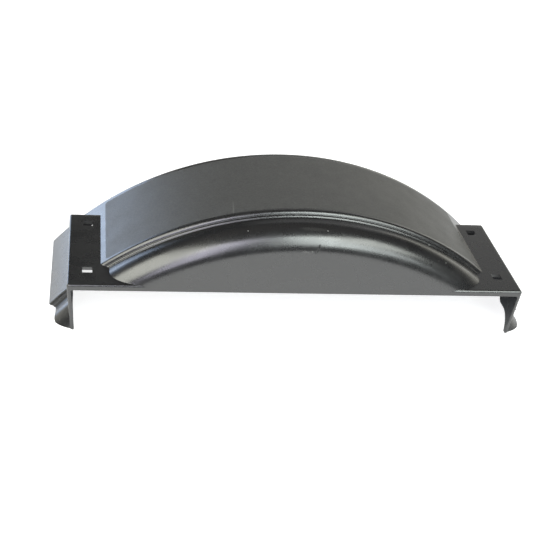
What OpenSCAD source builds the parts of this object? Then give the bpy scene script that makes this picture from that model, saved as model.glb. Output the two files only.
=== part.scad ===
// Trailer wheel fender, thermoformed from one plastic sheet.
// A wheel arch with a rounded front shoulder runs into a flat bolt-down bracket at each end.
// X runs along the fender, +Y from the shouldered front to the back, +Z up.
// The origin is on the ground plane, under the middle of the fender.

/* [Sheet] */
// Thickness of the plastic sheet
sheet_t = 4.5; // [3:0.5:5]
// Outside radius of the folds round the bracket tops and flaps
fold_r = 3; // [2:0.5:4]

/* [Arch] */
// Outside radius of the tread
arch_r = 414.5; // [390:0.5:450]
// Height of the tread's crown above the bracket tops
crown_h = 86.5; // [70:0.5:110]
// Depth of the whole fender, front face to back lip
arch_d = 210; // [195:1:240]
// Depth of the lip that turns down along the tread's back edge
back_lip_h = 16; // [10:1:24]
// Outside radius of the fold into the back lip
back_fold_r = 6; // [5:0.5:9]

/* [Shoulder] */
// Distance from the front face to the tread's front edge
tread_y = 49.5; // [46:0.5:60]
// Drop from the tread to the top of the shoulder
step_h = 6.5; // [5.5:0.5:9]
// Radius that turns the tread's front edge down
bead_r = 5; // [4:0.5:5.5]
// Radius of the small bead at the foot of the step
small_bead_r = 2.2; // [1.5:0.1:2.5]
// Radius of the shoulder, from its top round to the front face
shoulder_r = 30; // [22:1:34]

/* [End brackets] */
// Length over the two bracket tops
span = 590; // [560:1:610]
// Height of the bracket tops above the ground
top_h = 67; // [60:1:80]
// Depth of the bracket tops
top_d = 176; // [160:1:190]
// Distance by which the brackets stand back from the shoulder's front face
bracket_back_y = 0.4; // [0.2:0.1:1]
// Lean of the end flaps, in towards their foot, in degrees
flap_lean = 4.6; // [0:0.5:6]
// Height of the lip along the front of the brackets and the shoulder
front_lip_h = 8; // [7:0.5:14]
// Radius of the two corners under the front lip
lip_corner_r = 3; // [2:0.5:6]
// Lift of the trimmed rim behind the toes of the flaps
rim_lift = 5.5; // [3:0.5:9]
// Depth of the flat toe at the front of each flap
toe_d = 15; // [10:1:20]
// Depth over which the rim rises behind the toe
toe_rise_d = 14; // [8:1:20]

/* [Bolt holes] */
// Side of each square hole, for carriage bolts
hole_w = 12.5; // [10:0.5:14]
// Distance between the holes along the fender
hole_span_x = 540; // [530:1:548]
// Distance between the holes from front to back
hole_span_y = 116; // [100:1:124]
// Distance from the front face to the front holes
hole_y = 35; // [30:1:42]

/* [Hidden] */

// Room by which cutters pass the faces they cut
over = 5;
// Facets of the wide arch and of the small folds
arch_fn = 360;
fold_fn = 64;
// Height of the arch's axis, which lies below the ground
axis_z = top_h + crown_h - arch_r;
// Half the length over the bracket tops
half_span = span / 2;
// Radii of the top of the shoulder and of the centre of its round
shoulder_top_r = arch_r - step_h;
shoulder_axis_r = shoulder_top_r - shoulder_r;
// Front of the large bead, where the small one stands before it
bead_y = tread_y - bead_r;
small_bead_y = bead_y - small_bead_r / 2;
// A width and a height that pass the whole arch
reach = 2 * arch_r;

// Half the length of the bracket at height z, with the leaning flap set in by inset
function half_at(z, inset) = half_span - (top_h - z) * tan(flap_lean) - inset / cos(flap_lean);

// Distance from a sharp top corner of the bracket to where a round of radius r meets its sides
function round_run(r) = r / tan((90 - flap_lean) / 2);

// Carries an X-Z drawing from depth y0 to depth y1
module sweep_y(y0, y1) {
    translate([0, y1, 0])
        rotate([90, 0, 0])
            linear_extrude(y1 - y0)
                children();
}

// Carries a Y-Z drawing across the whole length
module sweep_x() {
    rotate([90, 0, 90])
        linear_extrude(reach, center = true)
            children();
}

// Turns a profile, drawn as radius and depth, about the arch's axis
module turn_arch() {
    translate([0, 0, axis_z])
        rotate([-90, 0, 0])
            rotate_extrude($fn = arch_fn)
                children();
}

// Front view of the bracket: a flat top, leaning sides set in by inset, and round corners
module bracket_front_view(top, inset, r) {
    x = half_at(top, inset);
    run = round_run(r);
    side = [x - run * sin(flap_lean), top - run * cos(flap_lean)];
    foot = [half_at(-over, inset), -over];
    polygon([[run - x, top], [x - run, top], side, foot, [-foot[0], foot[1]], [-side[0], side[1]]]);
    if (r > 0)
        for (end = [-1, 1])
            translate([end * (x - run), top - r])
                circle(r, $fn = fold_fn);
}

// Side view of the bracket block, with its front and back top edges round
module bracket_side_view() {
    translate([bracket_back_y, -over])
        square([top_d - bracket_back_y, top_h + over - fold_r]);
    translate([bracket_back_y + fold_r, 0])
        square([top_d - bracket_back_y - 2 * fold_r, top_h]);
    for (y = [bracket_back_y + fold_r, top_d - fold_r])
        translate([y, top_h - fold_r])
            circle(fold_r, $fn = fold_fn);
}

// What lies outside the round of an upright corner, drawn in plan with the corner at the origin
module corner_waste_plan() {
    difference() {
        translate([-fold_r, -over])
            square(fold_r + over);
        translate([-fold_r, fold_r])
            circle(fold_r, $fn = fold_fn);
    }
}

// The same waste along the leaning front and back corners of the right-hand flap
module corner_waste() {
    translate([half_span, 0, top_h])
        rotate([0, flap_lean, 0])
            translate([0, 0, -top_h - over])
                linear_extrude(top_h + 2 * over) {
                    translate([0, bracket_back_y])
                        corner_waste_plan();
                    translate([0, top_d])
                        mirror([0, 1])
                            corner_waste_plan();
                }
}

// Outside of the end brackets, one block that the arch passes through
module bracket_outside() {
    difference() {
        intersection() {
            sweep_y(-over, top_d + over)
                bracket_front_view(top_h, 0, fold_r);
            sweep_x()
                bracket_side_view();
        }
        corner_waste();
        mirror([1, 0, 0])
            corner_waste();
    }
}

// Hollow of the end brackets, one sheet thickness inside them and open below
module bracket_inside() {
    sweep_y(bracket_back_y + sheet_t, top_d - sheet_t)
        bracket_front_view(top_h - sheet_t, sheet_t, 0);
}

// Outer profile of the arch: front face, shoulder, the two beads of the step, tread and back fold
module arch_outside_profile() {
    square([shoulder_axis_r, arch_d]);
    translate([shoulder_axis_r, shoulder_r])
        circle(shoulder_r, $fn = 2 * fold_fn);
    translate([0, shoulder_r])
        square([shoulder_top_r, tread_y - shoulder_r]);
    translate([shoulder_top_r, small_bead_y])
        circle(small_bead_r, $fn = fold_fn);
    translate([shoulder_top_r - over, small_bead_y])
        square([over + small_bead_r / 2, tread_y - small_bead_y]);
    translate([arch_r - bead_r, tread_y])
        circle(bead_r, $fn = fold_fn);
    translate([0, bead_y])
        square([arch_r - bead_r, arch_d - bead_y]);
    translate([0, tread_y])
        square([arch_r, arch_d - back_fold_r - tread_y]);
    translate([arch_r - back_fold_r, arch_d - back_fold_r])
        circle(back_fold_r, $fn = fold_fn);
}

// Inner profile of the arch, one sheet thickness inside the outer one and open at the back
module arch_inside_profile() {
    translate([0, sheet_t])
        square([shoulder_axis_r, arch_d - 2 * sheet_t]);
    translate([shoulder_axis_r, shoulder_r])
        circle(shoulder_r - sheet_t, $fn = 2 * fold_fn);
    translate([0, shoulder_r])
        square([shoulder_top_r - sheet_t, arch_d - sheet_t - shoulder_r]);
    polygon([[0, bead_y], [shoulder_top_r - sheet_t, bead_y], [arch_r - sheet_t, tread_y],
             [arch_r - sheet_t, arch_d - sheet_t], [0, arch_d - sheet_t]]);
    translate([0, arch_d - sheet_t - over])
        square([arch_r - back_lip_h, sheet_t + 2 * over]);
}

// Opening under the front lip, between the flaps
module front_opening() {
    sweep_y(-over, sheet_t + over)
        bracket_front_view(top_h - front_lip_h, sheet_t, lip_corner_r);
}

// Everything below the trimmed rim, which stands on the toes of the flaps
module below_rim() {
    sweep_x()
        polygon([[-over, 0], [toe_d, 0], [toe_d + toe_rise_d, rim_lift], [arch_d + over, rim_lift],
                 [arch_d + over, -reach], [-over, -reach]]);
}

// Square bolt holes, two through each bracket top
module bolt_holes() {
    for (x = [-hole_span_x / 2, hole_span_x / 2])
        for (y = [hole_y, hole_y + hole_span_y])
            translate([x - hole_w / 2, y - hole_w / 2, top_h - sheet_t - over])
                cube([hole_w, hole_w, sheet_t + 2 * over]);
}

module fender_shell() {
    color("#2b2b2a")
        translate([0, -arch_d / 2, 0])
            difference() {
                union() {
                    bracket_outside();
                    turn_arch()
                        arch_outside_profile();
                }
                bracket_inside();
                turn_arch()
                    arch_inside_profile();
                front_opening();
                below_rim();
                bolt_holes();
            }
}

fender_shell();
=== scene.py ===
"""Trailer wheel fender: one black ABS sheet, drawn over a mould and trimmed, on a pale studio floor."""

import math

import bmesh
import bpy
import numpy as np
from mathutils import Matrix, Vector


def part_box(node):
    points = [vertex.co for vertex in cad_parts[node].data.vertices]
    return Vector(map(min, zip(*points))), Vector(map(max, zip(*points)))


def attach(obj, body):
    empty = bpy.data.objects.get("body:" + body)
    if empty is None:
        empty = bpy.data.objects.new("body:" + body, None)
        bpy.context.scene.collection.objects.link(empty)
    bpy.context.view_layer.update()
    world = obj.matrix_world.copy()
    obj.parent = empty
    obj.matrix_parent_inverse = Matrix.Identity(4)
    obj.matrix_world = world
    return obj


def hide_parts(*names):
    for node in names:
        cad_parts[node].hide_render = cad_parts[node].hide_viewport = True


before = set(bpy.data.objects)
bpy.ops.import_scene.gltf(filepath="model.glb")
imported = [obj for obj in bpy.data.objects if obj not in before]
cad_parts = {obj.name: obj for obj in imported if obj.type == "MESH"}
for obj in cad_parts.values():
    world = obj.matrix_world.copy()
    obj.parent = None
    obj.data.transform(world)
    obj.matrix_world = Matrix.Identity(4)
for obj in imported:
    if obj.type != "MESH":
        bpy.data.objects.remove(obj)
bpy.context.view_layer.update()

# Fender shell
# The whole fender is one sheet of black ABS, heated and drawn over a mould, so every wall is one sheet
# thick and every fold is round. The rim, the opening under the front lip and the bolt holes are cut afterwards.
# Sizes are in millimetres up to the mesh, and y runs from the front face backwards.
MM = 0.001
low_corner, high_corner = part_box("fender_shell")
arch_depth = (high_corner.y - low_corner.y) / MM
sheet = 4.5
arch_radius = 414.5
axis_z = high_corner.z / MM - arch_radius
shoulder_radius = 30.0
step_drop = 6.5
tread_front = 49.5
bead_radius = 5.0
small_bead_radius = 2.2
cove_radius = 0.9
valley_radius = 0.6
bracket_half = 295.0
bracket_top = 67.0
bracket_depth = 176.0
lean = math.radians(4.6)
fold = 3.0
plate_foot = 1.2
flap_foot = 2.0
lip_bottom = bracket_top - 8.0
lip_corner = 3.0
back_fold = 6.0
back_lip = 16.0
rim_lift = 5.5
toe_depth = 15.0
toe_rise = 14.0
hole_side = 12.5
hole_x = 270.0
hole_ys = (35.0, 151.0)

# Spans in each stretch of half a cross-section, from the crown down to the rim. A bolt hole is one span wide.
CROWN, FOOT, TO_HOLE, TO_CORNER, CORNER, FLAP, FLAP_FOOT, FLARE = 40, 5, 4, 3, 6, 6, 5, 8
PLATE = TO_HOLE + 1 + TO_CORNER
bracket_end = CROWN + FOOT + PLATE + CORNER + FLAP + FLAP_FOOT


def spread(count, ease=1.0):
    """Count fractions from just above 0 to 1. An ease below 1 draws them towards both ends."""
    even = np.arange(1, count + 1) / count
    return even + (1 - ease) * np.sin(2 * math.pi * even) / (-2 * math.pi)


def cross_section(radius, top, inset, corner, plate_foot, flap_foot, rim):
    """Half of the sheet's outline in width and height, one row for each value of the arguments, which are columns.
    An arc of the arch's circle runs from the crown to a concave foot arc, then a level line to a convex corner,
    a line that leans in by the flap's angle, a second foot arc and the arch's circle again, down to the rim."""
    slope, cos_lean, sin_lean = math.tan(lean), math.cos(lean), math.sin(lean)
    # Crown, and the arc at its foot, which touches both the arch's circle and the level line
    foot_z = top + plate_foot
    foot_x = np.sqrt((radius + plate_foot) ** 2 - (foot_z - axis_z) ** 2)
    foot_angle = np.arctan2(foot_x, foot_z - axis_z)
    angle = foot_angle * np.concatenate(([0.0], spread(CROWN)))
    crown = radius * np.sin(angle), axis_z + radius * np.cos(angle)
    angle = foot_angle * (1 - spread(FOOT))
    foot = foot_x - plate_foot * np.sin(angle), foot_z - plate_foot * np.cos(angle)
    # Bracket top, with a column along each side of the bolt holes
    sharp_x = bracket_half - (bracket_top - top) * slope - inset / cos_lean
    corner_x = sharp_x - corner / math.tan((math.pi / 2 - lean) / 2)
    inner_x, outer_x = hole_x - hole_side / 2, hole_x + hole_side / 2
    to_hole = foot_x + (inner_x - foot_x) * spread(TO_HOLE, 0.3)
    beyond = np.array([[outer_x]]) + 0 * foot_x
    to_corner = outer_x + (corner_x - outer_x) * spread(TO_CORNER, 0.4)
    level_x = np.concatenate((to_hole, beyond, to_corner), axis=1)
    plate = level_x, top + 0 * level_x
    # Corner between the bracket top and the flap
    angle = (math.pi / 2 + lean) * spread(CORNER)
    round_corner = corner_x + corner * np.sin(angle), top - corner + corner * np.cos(angle)
    # Centre of the arc at the flap's foot, which touches the leaning line and the arch's circle
    offset = bracket_half - (bracket_top - axis_z) * slope - (inset - flap_foot) / cos_lean
    square = 1 + slope**2
    root = np.sqrt((offset * slope) ** 2 - square * (offset**2 - (radius + flap_foot) ** 2))
    rise = (root - offset * slope) / square
    centre_x, centre_z = offset + slope * rise, axis_z + rise
    flare_angle = np.arctan2(centre_x, rise)
    touch_z = centre_z + flap_foot * sin_lean
    # Flap, down to its foot or to the rim
    start_z = round_corner[1][:, -1:]
    line_z = start_z + (np.maximum(touch_z, rim) - start_z) * spread(FLAP, 0.3)
    flap = sharp_x - (top - line_z) * slope, line_z
    # Foot of the flap and the flare below it, where the rim lies lower than they do
    first = math.pi - lean
    at_rim = math.pi + np.arcsin(np.clip((centre_z - rim) / flap_foot, -sin_lean, 1))
    last = np.clip(np.minimum(1.5 * math.pi - flare_angle, at_rim), first, None)
    angle = first + (last - first) * spread(FLAP_FOOT)
    above = rim < touch_z
    heel_x = np.where(above, centre_x + flap_foot * np.cos(angle), flap[0][:, -1:])
    heel_z = np.where(above, centre_z + flap_foot * np.sin(angle), flap[1][:, -1:])
    rim_angle = np.arccos((rim - axis_z) / radius)
    angle = flare_angle + (rim_angle - flare_angle) * spread(FLARE)
    above = rim_angle > flare_angle
    flare_x = np.where(above, radius * np.sin(angle), heel_x[:, -1:])
    flare_z = np.where(above, axis_z + radius * np.cos(angle), heel_z[:, -1:])
    parts = (crown, foot, plate, round_corner, flap, (heel_x, heel_z), (flare_x, flare_z))
    return tuple(np.concatenate([part[k] for part in parts], axis=1) for k in (0, 1))


def arc(centre, radius, start, end, spans):
    """Depth and radius along an arc, its angles in radians from straight back, without its first point."""
    angle = start + (end - start) * np.arange(1, spans + 1) / spans
    return centre[0] + radius * np.cos(angle), centre[1] + radius * np.sin(angle)


def rim_height(y):
    """Height of the trimmed rim: level at the toes, then a slope, then level again at the rim's lift."""
    return rim_lift * np.clip((y - toe_depth) / toe_rise, 0, 1)


def fold_inset(y, low, high, radius):
    """How far the bracket's outline is drawn in at a depth, by the round folds at its front and back."""
    near = np.clip(radius - np.minimum(y - low, high - y), 0, radius)
    return radius - np.sqrt(radius**2 - near**2)


# Spans along the depth: round the shoulder, along the step and round its cove, round the fold at the bracket's back
# wall and the arch's back fold, and down the back lip
SHOULDER, LEVEL, COVE, WALL_FOLD, BACK_FOLD, LIP = 28, 3, 4, 7, 10, 2

# Depth and radius along the outside of the arch: shoulder, step with its two beads, tread, back fold, lip. Rows
# stand at the toes' slope and at both sides of each bolt hole, and close together where the tread bends.
shoulder_axis = arch_radius - step_drop - shoulder_radius
step_radius = arch_radius - step_drop
hole_rows = [y + side * hole_side / 2 for y in hole_ys for side in (-1, 1)]
marked_turns = np.arccos(1 - np.array([fold, toe_depth, hole_rows[0], toe_depth + toe_rise]) / shoulder_radius)
turn = np.sort(np.concatenate((np.linspace(0, math.pi / 2, SHOULDER + 1), marked_turns)))
shoulder_y = shoulder_radius * (1 - np.cos(turn))
tread_bead = (tread_front, arch_radius - bead_radius)
small_bead = (tread_front - bead_radius - small_bead_radius / 2, step_radius)
cove_r = step_radius + cove_radius
cove_y = small_bead[0] - math.sqrt((small_bead_radius + cove_radius) ** 2 - cove_radius**2)
cove_end = -math.asin(cove_radius / (small_bead_radius + cove_radius))
cove_mark = -math.acos((hole_rows[1] - cove_y) / cove_radius)
gap = np.subtract(tread_bead, small_bead)
reach = np.hypot(*gap)
near_side, far_side = small_bead_radius + valley_radius, bead_radius + valley_radius
along = (near_side**2 - far_side**2 + reach**2) / (2 * reach)
across = math.sqrt(near_side**2 - along**2)
valley = small_bead + (along * gap + across * np.array([-gap[1], gap[0]])) / reach
valley_start = math.atan2(small_bead[1] - valley[1], small_bead[0] - valley[0])
valley_end = math.atan2(tread_bead[1] - valley[1], tread_bead[0] - valley[0])
step = [
    (np.array([shoulder_radius + 2, 36.0, cove_y]), np.full(LEVEL, step_radius)),
    arc((cove_y, cove_r), cove_radius, -math.pi / 2, cove_mark, COVE),
    arc((cove_y, cove_r), cove_radius, cove_mark, cove_end, 1),
    arc(small_bead, small_bead_radius, math.pi + cove_end, math.pi + valley_start, 9),
    arc(valley, valley_radius, valley_start, valley_end, 5),
    arc(tread_bead, bead_radius, math.pi + valley_end, math.pi / 2, 9),
]
tread_ys = [tread_front + 1, 56.0, 75.0, 100.0, 122.0, *hole_rows[2:], 165.0, bracket_depth - fold]
bracket_back = bracket_depth - fold * (1 - np.sin(np.linspace(0, math.pi / 2, WALL_FOLD + 1)[1:]))
behind = [bracket_depth, bracket_depth + 1.5, 190.0, arch_depth - back_fold - 1.5, arch_depth - back_fold]
tread = np.concatenate((tread_ys, bracket_back, behind))
tail = arc((arch_depth - back_fold, arch_radius - back_fold), back_fold, math.pi / 2, 0, BACK_FOLD)
edge = np.full(LIP, arch_depth), np.array([tail[1][-1] - 1.5, arch_radius - back_lip])
outer_y = np.concatenate((shoulder_y, *(part[0] for part in step), tread, tail[0], edge[0]))
shoulder_r = shoulder_axis + shoulder_radius * np.sin(turn)
tread_r = np.full(len(tread), arch_radius)
outer_r = np.concatenate((shoulder_r, *(part[1] for part in step), tread_r, tail[1], edge[1]))

# The inside follows one sheet thickness away, and crosses under the beads in one smooth step
inner_y = np.concatenate((sheet + shoulder_y * (1 - sheet / shoulder_radius), outer_y[len(turn):]))
inner_y[np.searchsorted(turn, marked_turns[2])] = hole_rows[0]
step_from = len(turn) + LEVEL + COVE - 1
step_to = len(turn) + sum(len(part[0]) for part in step)
crossing_end = tread_front + 3
inner_y[step_from:step_to + 1] = np.linspace(hole_rows[1], crossing_end, step_to + 1 - step_from)
wall = np.flatnonzero(np.abs(outer_y - bracket_depth) < 1e-6)
before_wall = slice(wall[0] - WALL_FOLD, wall[0])
inner_y[before_wall] = np.linspace(bracket_depth - sheet - 1, bracket_depth - sheet, WALL_FOLD + 1)[:-1]
inner_y[wall] = bracket_depth - sheet
inner_fold = back_fold - sheet
fold_at = slice(len(outer_y) - BACK_FOLD - LIP, len(outer_y) - LIP)
inner_y[fold_at] = arch_depth - back_fold + inner_fold * (tail[0] - arch_depth + back_fold) / back_fold
inner_y[-LIP:] = arch_depth - sheet
inner_r = np.where(
    inner_y <= shoulder_radius,
    shoulder_axis + np.sqrt(np.maximum((shoulder_radius - sheet) ** 2 - (shoulder_radius - inner_y) ** 2, 0)),
    step_radius - sheet,
)
crossed = np.clip((inner_y - hole_rows[1]) / (crossing_end - hole_rows[1]), 0, 1)
inner_r = inner_r + step_drop * crossed**2 * (3 - 2 * crossed)
inner_r[fold_at] = arch_radius - back_fold + inner_fold * (tail[1] - arch_radius + back_fold) / back_fold
inner_r[-LIP:] = edge[1]


least_fold = 0.3


def skin(y, r, inset):
    """One face of the sheet as grids of width and height: a row for each depth, a column along each outline.
    Up to the bracket's back wall the rows are cross-sections of arch and bracket together. From there on they
    are arcs of the arch's circle alone, which share out their columns as the first of them does."""
    last = wall[0]
    rim = rim_height(y).reshape(-1, 1)
    drawn_in = fold_inset(y, inset, bracket_depth - inset, fold - min(inset, fold)).reshape(-1, 1)
    corner = np.maximum(fold - min(inset, fold - least_fold) - drawn_in, 0)
    rows = slice(0, last + 1)
    radius = r.reshape(-1, 1)
    top = bracket_top - inset - drawn_in[rows]
    x, z = cross_section(
        radius[rows], top, inset + drawn_in[rows], corner[rows], plate_foot + inset, flap_foot + inset, rim[rows]
    )
    # First arc of the arch alone, in the plane of the back wall
    angle = np.arctan2(x[-1], z[-1] - axis_z)
    side = slice(CROWN, bracket_end)
    share = np.linspace(0, 1, bracket_end + 1 - CROWN)[:-1]
    angle[side] = angle[CROWN] + (angle[bracket_end] - angle[CROWN]) * share
    rim_angle = np.arccos((rim[last + 1:] - axis_z) / radius[last + 1:])
    angle = angle / angle[-1] * rim_angle
    arc_x = radius[last + 1:] * np.sin(angle)
    arc_z = axis_z + radius[last + 1:] * np.cos(angle)
    return np.concatenate((x, arc_x)), np.concatenate((z, arc_z))


def opening_edge(x):
    """The edge of the front opening, one point for each column of the first row x: a level edge under the lip,
    a round corner, and a side down to the toe that lies one sheet thickness inside the flap."""
    slope = math.tan(lean)
    side_x = bracket_half - (bracket_top - lip_bottom) * slope - sheet / math.cos(lean)
    end_x = side_x - lip_corner / math.tan((math.pi / 2 - lean) / 2)
    level = CROWN + FOOT + PLATE
    angle = (math.pi / 2 + lean) * spread(CORNER)
    corner_z = lip_bottom - lip_corner + lip_corner * np.cos(angle)
    side_z = corner_z[-1] * (1 - spread(FLAP, 0.3))
    at_toe = np.zeros(FLAP_FOOT + FLARE)
    edge_z = np.concatenate((np.full(level + 1, lip_bottom), corner_z, side_z, at_toe))
    leaning = side_x - (lip_bottom - edge_z) * slope
    level_x = x[:level + 1] * end_x / x[level]
    edge_x = np.concatenate((level_x, end_x + lip_corner * np.sin(angle), leaning[level + 1 + CORNER:]))
    return edge_x, edge_z


# The front face's rows, as shares of the way from the fold to the opening's edge
front_shares = np.array([1.0, 0.97, 0.5, 0.05])


def with_front(x, y, z, edge_x, edge_z):
    """Adds the flat front face to a skin: rows of straight lines from the first section to the opening's edge."""
    share = front_shares.reshape(-1, 1)
    front_x = x[0] + (edge_x - x[0]) * share
    front_z = z[0] + (edge_z - z[0]) * share
    front_y = np.full(len(front_shares), y[0])
    return np.concatenate((front_x, x)), np.concatenate((front_y, y)), np.concatenate((front_z, z))


def closed_sheet(outside, inside, holes):
    """Turns two skins with the same rows and columns into one closed mesh. Rows run from the front opening to the
    back lip outside and return inside, so the grid closes on itself over both cut edges. Strips join the ends of the
    columns along the rim. Each hole leaves out the cells between its rows and columns and joins their edges."""
    rows, columns = outside[0].shape
    points = np.stack([np.concatenate((a, b[::-1])) for a, b in zip(outside, inside)], axis=2)
    index = np.arange(2 * rows * columns).reshape(2 * rows, columns)
    ahead = np.roll(index, -1, axis=0)
    keep = np.ones((2 * rows, columns - 1), bool)
    faces = []
    for r0, r1, c0, c1 in holes:
        keep[r0:r1, c0:c1] = False
        keep[2 * rows - 1 - r1:2 * rows - 1 - r0, c0:c1] = False
        loop = [(r, c0) for r in range(r0, r1)] + [(r1, c) for c in range(c0, c1)]
        loop += [(r, c1) for r in range(r1, r0, -1)] + [(r0, c) for c in range(c1, c0, -1)]
        out = np.array([index[r, c] for r, c in loop])
        into = np.array([index[2 * rows - 1 - r, c] for r, c in loop])
        faces.append(np.stack((out, np.roll(out, -1), np.roll(into, -1), into), axis=1))
    cells = np.stack((index[:, :-1], ahead[:, :-1], ahead[:, 1:], index[:, 1:]), axis=2)
    faces.append(cells[keep])
    out, into = index[:rows], index[::-1][:rows]
    for end in (0, -1):
        faces.append(np.stack((out[:-1, end], out[1:, end], into[1:, end], into[:-1, end]), axis=1))
    return points.reshape(-1, 3), np.concatenate(faces)


first_row_x = skin(outer_y, outer_r, 0.0)[0][0]
opening = opening_edge(first_row_x)
skins = []
for y, r, inset in ((outer_y, outer_r, 0.0), (inner_y, inner_r, sheet)):
    x, z = skin(y, r, inset)
    x, y, z = with_front(x, y, z, *opening)
    x = np.concatenate((-x[:, :0:-1], x), axis=1)
    z = np.concatenate((z[:, :0:-1], z), axis=1)
    skins.append((x, y.reshape(-1, 1) - arch_depth / 2 + 0 * x, z))
hole_column = CROWN + FOOT + TO_HOLE
middle_column = len(skins[0][0][0]) // 2
hole_cells = []
for first, last in zip(hole_rows[::2], hole_rows[1::2]):
    r0, r1 = (len(front_shares) + int(np.argmin(np.abs(outer_y - y))) for y in (first, last))
    for side in (-1, 1):
        c0, c1 = sorted(middle_column + side * column for column in (hole_column, hole_column + 1))
        hole_cells.append((r0, r1, c0, c1))
points, faces = closed_sheet(*skins, hole_cells)
shell_mesh = bpy.data.meshes.new("fender_sheet")
shell_mesh.from_pydata((points * MM).tolist(), [], faces.tolist())
sheet_edit = bmesh.new()
sheet_edit.from_mesh(shell_mesh)
same_point = 0.02
bmesh.ops.remove_doubles(sheet_edit, verts=sheet_edit.verts, dist=same_point * MM)
bmesh.ops.recalc_face_normals(sheet_edit, faces=sheet_edit.faces)
sheet_edit.to_mesh(shell_mesh)
sheet_edit.free()
shell_mesh.polygons.foreach_set("use_smooth", np.ones(len(shell_mesh.polygons), bool))
cut_edge_angle = 32
shell_mesh.set_sharp_from_angle(angle=math.radians(cut_edge_angle))
shell = bpy.data.objects.new("fender_sheet", shell_mesh)
bpy.context.scene.collection.objects.link(shell)
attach(shell, "root")
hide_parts("fender_shell")


def to_linear(hex_colour):
    """An sRGB hex colour as the linear RGBA that shaders take."""
    value = np.array([int(hex_colour[k:k + 2], 16) for k in (1, 3, 5)]) / 255
    linear = np.where(value <= 0.04045, value / 12.92, ((value + 0.055) / 1.055) ** 2.4)
    return (*linear.tolist(), 1.0)


def add_node(tree, kind, settings=None, **links):
    """Adds a shader node, sets its properties and its inputs' values, and links other nodes' outputs into its inputs.
    An input is called by its name, or by its number where several inputs share a name: in:1 for a value, n1 for a
    link."""
    node = tree.nodes.new(kind)
    for name, value in (settings or {}).items():
        if name.startswith("in:"):
            key = name[3:]
            node.inputs[int(key) if key.isdigit() else key].default_value = value
        else:
            setattr(node, name, value)
    for name, socket in links.items():
        key = name.replace("_", " ")
        tree.links.new(socket, node.inputs[int(key[1:]) if key[0] == "n" and key[1:].isdigit() else key])
    return node


# Thermoformed ABS: the mould's haircell grain gives the tread a dull, broad gloss. The smooth rest is satin, with
# the long soft reflections of a stretched sheet, and carries the specks, scuffs and dark marks of a handled part.
# The specular level is twice the neutral one, since the photograph shows reflections that strong beside its blacks.
abs_sheet = bpy.data.materials.new("Thermoformed black ABS sheet")
abs_sheet.use_nodes = True
tree = abs_sheet.node_tree
shader = tree.nodes["Principled BSDF"]
shader.inputs["IOR"].default_value = 1.54
shader.inputs["Specular IOR Level"].default_value = 1.0
pad_side, pad_front, pad_back, pad_corner, pad_blend = 8.0, 3.0, 5.0, 5.0, 0.4
# The real grain is about 1 mm across. It is drawn a little coarser, so that it shows at the camera's distance.
grain_cell, fine_cell, grain_depth, mottle_size = 1.6, 0.7, 0.2, 2.2
wave_length, wave_depth = 80.0, 1.0
smear_size, dust_gap, dust_radius = 25.0, 16.0, 0.64
smooth_roughness, grained_roughness = 0.27, 0.5
pad_low = tread_front + pad_front
pad_high = arch_depth - back_fold - pad_back
foot_arc = arch_radius * math.acos((bracket_top - axis_z) / arch_radius)
pad_core_x = foot_arc - pad_side - pad_corner
pad_core_y = (pad_high - pad_low) / 2 - pad_corner
pad_middle = (pad_high + pad_low) / 2 - arch_depth / 2
here = add_node(tree, "ShaderNodeTexCoord").outputs["Object"]
axes = add_node(tree, "ShaderNodeSeparateXYZ", Vector=here)
above_axis = add_node(tree, "ShaderNodeMath", {"operation": "SUBTRACT", "in:1": axis_z * MM}, n0=axes.outputs["Z"])
around = add_node(tree, "ShaderNodeMath", {"operation": "ARCTAN2"}, n0=axes.outputs["X"], n1=above_axis.outputs[0])
along_arch = add_node(
    tree, "ShaderNodeMath", {"operation": "MULTIPLY", "in:1": arch_radius * MM}, n0=around.outputs[0]
)
# The tread unrolled flat, and on it a rounded rectangle, the grained pad: within pad_corner of the pad's core
unrolled = add_node(tree, "ShaderNodeCombineXYZ", X=along_arch.outputs[0], Y=axes.outputs["Y"])
centred = add_node(
    tree, "ShaderNodeVectorMath", {"operation": "SUBTRACT", "in:1": (0, pad_middle * MM, 0)}, n0=unrolled.outputs[0]
)
mirrored = add_node(tree, "ShaderNodeVectorMath", {"operation": "ABSOLUTE"}, n0=centred.outputs[0])
past_core = add_node(
    tree, "ShaderNodeVectorMath", {"operation": "SUBTRACT", "in:1": (pad_core_x * MM, pad_core_y * MM, 0)},
    n0=mirrored.outputs[0],
)
outside_core = add_node(
    tree, "ShaderNodeVectorMath", {"operation": "MAXIMUM", "in:1": (0, 0, 0)}, n0=past_core.outputs[0]
)
from_core = add_node(tree, "ShaderNodeVectorMath", {"operation": "LENGTH"}, n0=outside_core.outputs[0])
on_pad = add_node(
    tree, "ShaderNodeMapRange",
    {
        "interpolation_type": "SMOOTHSTEP",
        "in:From Min": (pad_corner + pad_blend) * MM, "in:From Max": (pad_corner - pad_blend) * MM,
    },
    Value=from_core.outputs["Value"],
)
facing = add_node(tree, "ShaderNodeNewGeometry")
outward = add_node(tree, "ShaderNodeSeparateXYZ", Vector=facing.outputs["True Normal"])
upper_side = add_node(tree, "ShaderNodeMath", {"operation": "GREATER_THAN", "in:1": 0.3}, n0=outward.outputs["Z"])
grained = add_node(tree, "ShaderNodeMath", {"operation": "MULTIPLY"}, n0=on_pad.outputs[0], n1=upper_side.outputs[0])
grain = add_node(
    tree, "ShaderNodeTexVoronoi",
    {"feature": "SMOOTH_F1", "in:Scale": 1 / (grain_cell * MM), "in:Smoothness": 0.6}, Vector=unrolled.outputs[0],
)
fine_grain = add_node(tree, "ShaderNodeTexNoise", {"in:Scale": 1 / (fine_cell * MM), "in:Detail": 2.0}, Vector=here)
relief = add_node(
    tree, "ShaderNodeMath", {"operation": "ADD"}, n0=grain.outputs["Distance"], n1=fine_grain.outputs["Fac"]
)
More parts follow.
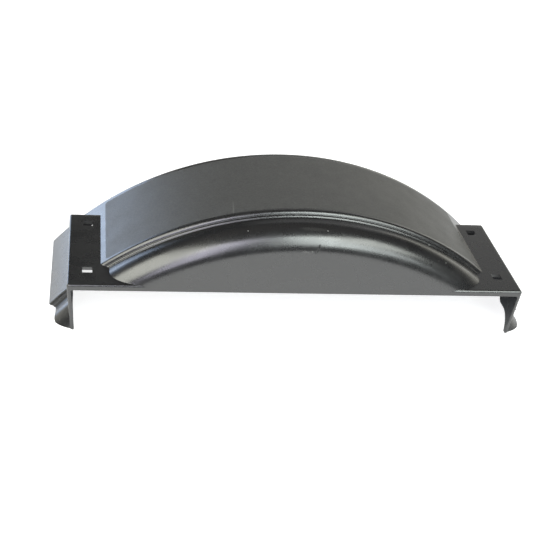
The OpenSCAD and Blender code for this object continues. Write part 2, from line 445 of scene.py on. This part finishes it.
grain_relief = add_node(tree, "ShaderNodeMath", {"operation": "MULTIPLY"}, n0=relief.outputs[0], n1=grained.outputs[0])
grain_bump = add_node(
    tree, "ShaderNodeBump", {"in:Strength": 0.35, "in:Distance": grain_depth * MM}, Height=grain_relief.outputs[0]
)
# Shallow waves, which the draw over the mould leaves in the sheet
waves = add_node(tree, "ShaderNodeTexNoise", {"in:Scale": 1 / (wave_length * MM), "in:Detail": 0.0}, Vector=here)
bump = add_node(
    tree, "ShaderNodeBump", {"in:Strength": 0.1, "in:Distance": wave_depth * MM},
    Height=waves.outputs["Fac"], Normal=grain_bump.outputs[0],
)
tree.links.new(bump.outputs[0], shader.inputs["Normal"])

# Wear: each mark is a soft-edged ellipsoid about a point of the skin, so it shows only where it meets the surface.
# A row holds its tone, middle and half sizes in mm, tilt in degrees and strength.
DARK, PALE = 0, 1
marks_seen = [
    (DARK, (13.0, -103.0, 127.6), (1.7, 6.0, 4.2), (0, 14, 0), 1.0),
    (DARK, (11.6, -104.3, 122.6), (1.8, 6.0, 3.6), (0, 18, 0), 1.0),
    (DARK, (8.6, -104.8, 119.7), (2.6, 6.0, 0.9), (0, 8, 0), 0.9),
    (DARK, (44.7, -103.7, 122.9), (1.0, 5.0, 0.9), (0, 0, 0), 1.0),
    (DARK, (82.7, -101.9, 121.2), (0.8, 5.0, 0.7), (0, 0, 0), 0.7),
    (DARK, (33.5, -95.2, 137.8), (1.6, 4.0, 0.9), (0, 30, 0), 0.5),
    (DARK, (42.0, -95.1, 136.8), (1.2, 4.0, 0.7), (0, -20, 0), 0.5),
    (PALE, (-3.5, -104.7, 120.7), (5.5, 4.0, 0.4), (0, 3, 0), 0.6),
    (PALE, (4.5, -104.8, 121.2), (1.0, 4.0, 0.7), (0, 0, 0), 0.7),
    (PALE, (24.2, -89.2, 142.6), (0.7, 1.2, 1.4), (0, 0, 0), 0.8),
    (PALE, (8.0, -87.8, 143.6), (26.0, 3.5, 2.5), (0, 4, 0), 0.05),
    (PALE, (-75.6, -85.8, 137.8), (0.9, 1.2, 0.9), (0, 0, 0), 0.6),
    (PALE, (168.6, -63.8, 110.6), (1.1, 1.4, 1.1), (0, 0, 0), 0.8),
    (PALE, (176.5, -89.8, 102.5), (0.8, 1.2, 0.8), (0, 0, 0), 0.6),
    (PALE, (187.5, -87.6, 98.2), (0.8, 1.2, 0.8), (0, 0, 0), 0.6),
    (PALE, (-89.3, -37.0, 143.4), (0.45, 21.0, 4.0), (0, 0, -5), 0.35),
    (PALE, (28.5, -16.1, 152.5), (0.9, 0.9, 2.0), (0, 0, 0), 0.5),
]
worn = [None, None]
for tone, middle, half_size, tilt, strength in marks_seen:
    spot = add_node(
        tree, "ShaderNodeMapping",
        {
            "vector_type": "TEXTURE", "in:Location": Vector(middle) * MM,
            "in:Rotation": [math.radians(t) for t in tilt], "in:Scale": Vector(half_size) * MM,
        },
        Vector=here,
    )
    from_spot = add_node(tree, "ShaderNodeVectorMath", {"operation": "LENGTH"}, n0=spot.outputs[0])
    mark = add_node(
        tree, "ShaderNodeMapRange",
        {"interpolation_type": "SMOOTHSTEP", "in:From Min": 1.0, "in:From Max": 0.5, "in:To Max": strength},
        Value=from_spot.outputs["Value"],
    )
    if worn[tone] is not None:
        mark = add_node(
            tree, "ShaderNodeMath", {"operation": "MAXIMUM"}, n0=mark.outputs[0], n1=worn[tone].outputs[0]
        )
    worn[tone] = mark
dust = add_node(tree, "ShaderNodeTexVoronoi", {"in:Scale": 1 / (dust_gap * MM)}, Vector=here)
dust_spot = add_node(
    tree, "ShaderNodeMapRange",
    {
        "interpolation_type": "SMOOTHSTEP", "in:From Min": dust_radius / dust_gap,
        "in:From Max": dust_radius / dust_gap / 2, "in:To Max": 0.3,
    },
    Value=dust.outputs["Distance"],
)
pale = add_node(tree, "ShaderNodeMath", {"operation": "MAXIMUM"}, n0=dust_spot.outputs[0], n1=worn[PALE].outputs[0])

# Colour, in the order in which it lies: the grain's mottled black, the smooth black, dark marks, pale marks
mottle = add_node(tree, "ShaderNodeTexNoise", {"in:Scale": 1 / (mottle_size * MM), "in:Detail": 1.0}, Vector=here)
mottled = add_node(tree, "ShaderNodeMapRange", {"in:From Min": 0.3, "in:From Max": 0.7}, Value=mottle.outputs["Fac"])
colour = add_node(
    tree, "ShaderNodeMix", {"data_type": "RGBA", "in:6": to_linear("#292929"), "in:7": to_linear("#3c3c3b")},
    Factor=mottled.outputs[0],
)
colour = add_node(
    tree, "ShaderNodeMix", {"data_type": "RGBA", "in:6": to_linear("#1b1b1c")},
    Factor=grained.outputs[0], n7=colour.outputs[2],
)
for cover, paint in ((worn[DARK], "#0a0a0a"), (pale, "#8f8f8b")):
    colour = add_node(
        tree, "ShaderNodeMix", {"data_type": "RGBA", "in:7": to_linear(paint)},
        Factor=cover.outputs[0], n6=colour.outputs[2],
    )
tree.links.new(colour.outputs[2], shader.inputs["Base Color"])

# Roughness: satin or grained, a little uneven from handling, and dull where a mark lies
gloss = add_node(
    tree, "ShaderNodeMapRange", {"in:To Min": smooth_roughness, "in:To Max": grained_roughness},
    Value=grained.outputs[0],
)
smear = add_node(tree, "ShaderNodeTexNoise", {"in:Scale": 1 / (smear_size * MM), "in:Detail": 4.0}, Vector=here)
smear_gloss = add_node(
    tree, "ShaderNodeMapRange",
    {"in:From Min": 0.3, "in:From Max": 0.7, "in:To Min": -0.03, "in:To Max": 0.04}, Value=smear.outputs["Fac"],
)
smeared = add_node(tree, "ShaderNodeMath", {"operation": "ADD"}, n0=gloss.outputs[0], n1=smear_gloss.outputs[0])
marked = add_node(tree, "ShaderNodeMath", {"operation": "MAXIMUM"}, n0=pale.outputs[0], n1=worn[DARK].outputs[0])
roughness = add_node(tree, "ShaderNodeMath", {"operation": "MAXIMUM"}, n0=smeared.outputs[0], n1=marked.outputs[0])
tree.links.new(roughness.outputs[0], shader.inputs["Roughness"])
shell_mesh.materials.append(abs_sheet)

# Studio
# A matt white floor that runs on behind as the backdrop and ends in front, outside the view. The room in front and
# overhead is dark. Seven soft lamps stand where the photograph's reflections on the shoulder and tread place them.
floor_reach = 30.0
floor_front = -0.65
floor_glow = 0.8
shade_blend = 0.02
floor_mesh = bpy.data.meshes.new("studio_floor")
floor_corners = [
    (-floor_reach, floor_front, 0), (floor_reach, floor_front, 0), (floor_reach, floor_reach, 0),
    (-floor_reach, floor_reach, 0),
]
floor_mesh.from_pydata(floor_corners, [], [(0, 1, 2, 3)])
floor = bpy.data.objects.new("studio_floor", floor_mesh)
bpy.context.scene.collection.objects.link(floor)
floor_paint = bpy.data.materials.new("Matt white studio floor")
floor_paint.use_nodes = True
floor_tree = floor_paint.node_tree
matt_white = floor_tree.nodes["Principled BSDF"]
matt_white.inputs["Base Color"].default_value = to_linear("#c8c8c8")
matt_white.inputs["Roughness"].default_value = 0.9
matt_white.inputs["Specular IOR Level"].default_value = 0.0
matt_white.inputs["Emission Color"].default_value = (1, 1, 1, 1)
ray = add_node(floor_tree, "ShaderNodeLightPath")
# Reflections see no glow from the floor under the fender, which lies in its shade
floor_place = add_node(floor_tree, "ShaderNodeTexCoord")
from_middle = add_node(floor_tree, "ShaderNodeVectorMath", {"operation": "ABSOLUTE"}, n0=floor_place.outputs["Object"])
past_fender = add_node(
    floor_tree, "ShaderNodeVectorMath", {"operation": "SUBTRACT", "in:1": (high_corner.x, high_corner.y, 0)},
    n0=from_middle.outputs[0],
)
past_sides = add_node(floor_tree, "ShaderNodeSeparateXYZ", Vector=past_fender.outputs[0])
farthest = add_node(
    floor_tree, "ShaderNodeMath", {"operation": "MAXIMUM"}, n0=past_sides.outputs["X"], n1=past_sides.outputs["Y"]
)
unshaded = add_node(
    floor_tree, "ShaderNodeMapRange", {"in:From Min": -shade_blend, "in:From Max": shade_blend},
    Value=farthest.outputs[0],
)
seen = add_node(
    floor_tree, "ShaderNodeMath", {"operation": "MULTIPLY"}, n0=ray.outputs["Is Glossy Ray"], n1=unshaded.outputs[0]
)
for kind in ("Is Camera Ray", "Is Transmission Ray"):
    seen = add_node(floor_tree, "ShaderNodeMath", {"operation": "MAXIMUM"}, n0=seen.outputs[0], n1=ray.outputs[kind])
glow = add_node(floor_tree, "ShaderNodeMath", {"operation": "MULTIPLY", "in:1": floor_glow}, n0=seen.outputs[0])
floor_tree.links.new(glow.outputs[0], matt_white.inputs["Emission Strength"])
floor_mesh.materials.append(floor_paint)

# The air's light by direction: dark in front. Behind, from level (0) to straight up (1), a bright band for the
# backdrop, then the dark room and its dim ceiling. The camera itself sees white.
dark_front = (0.02, 0.02, 0.02, 1)
backdrop = (1.3, 1.28, 1.15, 1)
dark_room = (0.02, 0.02, 0.02, 1)
ceiling = (0.1, 0.09, 0.08, 1)
world = bpy.data.worlds.new("Studio air")
bpy.context.scene.world = world
world.use_nodes = True
air = world.node_tree
sky = add_node(air, "ShaderNodeTexCoord")
sky_axes = add_node(air, "ShaderNodeSeparateXYZ", Vector=sky.outputs["Generated"])
ramp = add_node(air, "ShaderNodeValToRGB", Fac=sky_axes.outputs["Z"])
ramp.color_ramp.elements[0].color = backdrop
ramp.color_ramp.elements[1].color = ceiling
for height, light in ((0.2, backdrop), (0.35, dark_room), (0.65, dark_room), (0.8, ceiling)):
    ramp.color_ramp.elements.new(height).color = light
rearward = add_node(air, "ShaderNodeMapRange", {"in:From Min": -0.2, "in:From Max": 0.2}, Value=sky_axes.outputs["Y"])
around_light = add_node(
    air, "ShaderNodeMix", {"data_type": "RGBA", "in:6": dark_front},
    Factor=rearward.outputs[0], n7=ramp.outputs["Color"],
)
sight = add_node(air, "ShaderNodeLightPath")
shown = add_node(
    air, "ShaderNodeMix", {"data_type": "RGBA", "in:7": (1, 1, 1, 1)},
    Factor=sight.outputs["Is Camera Ray"], n6=around_light.outputs[2],
)
air.links.new(shown.outputs[2], air.nodes["Background"].inputs["Color"])

lamp_aim = (0, 0, 0.1)


def soft_lamp(name, position, width, height, power, tint=(1, 1, 1)):
    """A rectangular area lamp in metres and watts, turned towards the fender."""
    lamp = bpy.data.lights.new(name, "AREA")
    lamp.shape = "RECTANGLE"
    lamp.size, lamp.size_y, lamp.energy, lamp.color = width, height, power, tint
    holder = bpy.data.objects.new(name, lamp)
    bpy.context.scene.collection.objects.link(holder)
    holder.location = position
    holder.rotation_euler = (Vector(lamp_aim) - Vector(position)).to_track_quat("-Z", "Y").to_euler()
    holder.visible_camera = False


soft_lamp("left_panel", (-1.75, -0.82, 1.74), 2.5, 1.6, 60, (0.99, 1.0, 0.91))
soft_lamp("left_strip", (-0.75, -1.96, 1.53), 0.75, 1.9, 25.5, (0.87, 0.85, 1.0))
soft_lamp("right_strip", (0.64, -1.97, 1.56), 0.7, 1.9, 32, (0.92, 1.0, 0.97))
soft_lamp("right_panel", (1.29, -1.16, 1.93), 1.4, 1.0, 23.5, (0.95, 1.0, 0.94))
soft_lamp("right_low_panel", (1.32, -1.88, 1.22), 0.9, 0.7, 9, (0.93, 1.0, 0.99))
soft_lamp("back_left_panel", (-1.65, 1.96, 0.5), 1.6, 0.9, 15, (0.5, 0.68, 1.0))
soft_lamp("back_panel", (0.8, 2.4, 1.3), 1.8, 1.2, 2.4)

# Camera
# The photograph's own view, fitted to the four bolt holes, the bracket corners and the arch's outlines: from the
# front and a little to the left, looking down at about 32 degrees.
camera_place = (-0.26987, -1.18157, 0.77695)
camera_turn = (57.9338, -6.2001, -7.8806)
eye = bpy.data.cameras.new("photo_camera")
eye.lens = 69.34
eye.sensor_width = 36.0
camera = bpy.data.objects.new("photo_camera", eye)
bpy.context.scene.collection.objects.link(camera)
camera.location = camera_place
camera.rotation_euler = [math.radians(angle) for angle in camera_turn]
bpy.context.scene.camera = camera
bpy.context.scene.view_settings.view_transform = "Standard"
